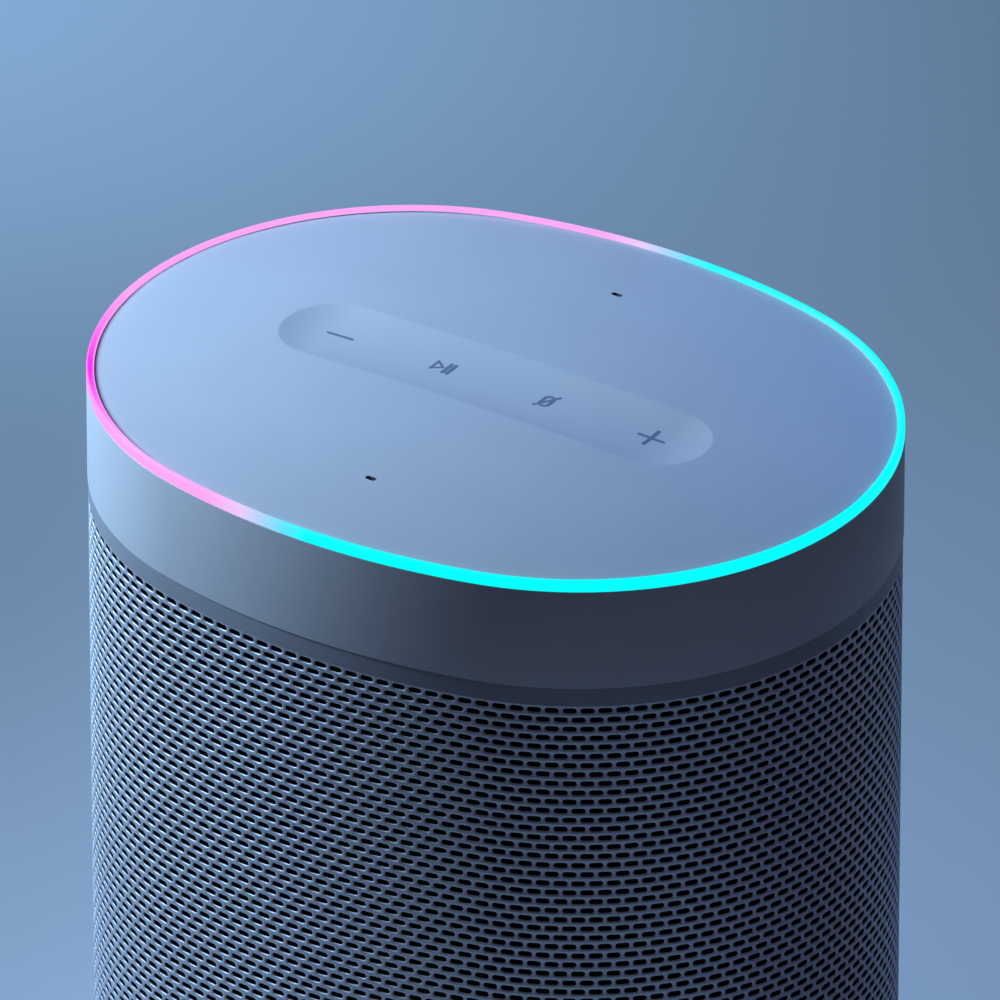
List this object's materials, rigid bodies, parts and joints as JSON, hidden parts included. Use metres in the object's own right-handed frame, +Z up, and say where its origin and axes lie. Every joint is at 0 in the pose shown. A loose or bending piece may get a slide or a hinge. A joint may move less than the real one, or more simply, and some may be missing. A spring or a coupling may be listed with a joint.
{
  "type": "smart speaker",
  "caption": "Upright oval smart speaker with a perforated metal sleeve, plain top band, glowing light ring, crowned touch cover and a down-firing driver over a diffuser cone.",
  "frame": {"origin": "middle of the foot's underside, on the surface the speaker stands on", "axes": "+Z up through the oval column; +X along the oval's long axis, towards the volume-up mark; -Y to the user's side; +Y to the back, where the power inlet is"},
  "size_m": [0.131, 0.104, 0.1509],
  "materials": {
    "white_plastic": "fine satin moulded",
    "icon_ink": "matt grey",
    "light_guide": "milky translucent, lit",
    "shield_foam": "matt black",
    "circuit_board": "solder mask",
    "led_package": "clear gel in a white package",
    "chip_package": "black moulding compound",
    "microphone_can": "tinned can",
    "gasket_rubber": "matt black silicone",
    "screen_cloth": "fine black mesh",
    "touch_foam": "conductive grey foam",
    "ribbon": "amber polyimide",
    "screw_steel": "zinc plated",
    "brass_fittings": "nickel-free turned brass",
    "heat_sink_metal": "clear anodised",
    "capacitor_can": "plain can with a dark stripe",
    "frame_plastic": "black ABS",
    "jack_plastic": "black PBT",
    "basket_steel": "black e-coat",
    "magnet_steel": "zinc plated",
    "ferrite": "ground grey-black ferrite",
    "spider_cloth": "resin-dipped cotton",
    "cone_paper": "black pressed pulp",
    "coil_wire": "enamelled copper",
    "wire_sleeve": "black PVC",
    "sleeve_metal": "satin painted perforated sheet",
    "grille_cloth": "black acoustic cloth",
    "foot_silicone": "matt grey silicone"
  },
  "bodies": {
    "housing": {"top_cover": "white_plastic", "upper_band": "white_plastic", "base_pan": "white_plastic", "touch_icons": "icon_ink", "light_ring": "light_guide", "light_shield": "shield_foam", "control_board": "circuit_board", "main_board": "circuit_board", "led_chips": "led_package", "processor_chips": "chip_package", "amplifier_chip": "chip_package", "driver_terminals": "chip_package", "microphone_capsules": "microphone_can", "shield_can": "microphone_can", "microphone_gaskets": "gasket_rubber", "enclosure_gasket": "gasket_rubber", "driver_gasket": "gasket_rubber", "surround": "gasket_rubber", "microphone_screens": "screen_cloth", "touch_pads": "touch_foam", "ribbon_cable": "ribbon", "wifi_antennas": "ribbon", "control_board_screws": "screw_steel", "main_board_screws": "screw_steel", "chassis_screws": "screw_steel", "enclosure_screws": "screw_steel", "driver_screws": "screw_steel", "tie_screws": "screw_steel", "board_standoffs": "brass_fittings", "dc_jack_pin": "brass_fittings", "dc_jack_contact": "brass_fittings", "heat_sink": "heat_sink_metal", "capacitors": "capacitor_can", "chassis_plate": "frame_plastic", "enclosure_shell": "frame_plastic", "support_posts": "frame_plastic", "diffuser": "frame_plastic", "dc_jack_housing": "jack_plastic", "power_plug": "jack_plastic", "driver_basket": "basket_steel", "top_plate": "magnet_steel", "yoke": "magnet_steel", "magnet": "ferrite", "spider": "spider_cloth", "driver_leads": "wire_sleeve", "power_cable": "wire_sleeve", "grille_sleeve": "sleeve_metal", "grille_cloth": "grille_cloth", "base_foot": "foot_silicone"},
    "diaphragm": {"cone": "cone_paper", "dust_cap": "cone_paper", "coil_former": "cone_paper", "coil_winding": "coil_wire"}
  },
  "joints": [
    {"name": "diaphragm_stroke", "type": "slide", "parent": "housing", "child": "diaphragm", "axis": [0, 0, -1], "range_m": [-0.0025, 0.0025], "stiffness_N_per_m": 1400, "deforming": ["surround", "spider"]}
  ]
}
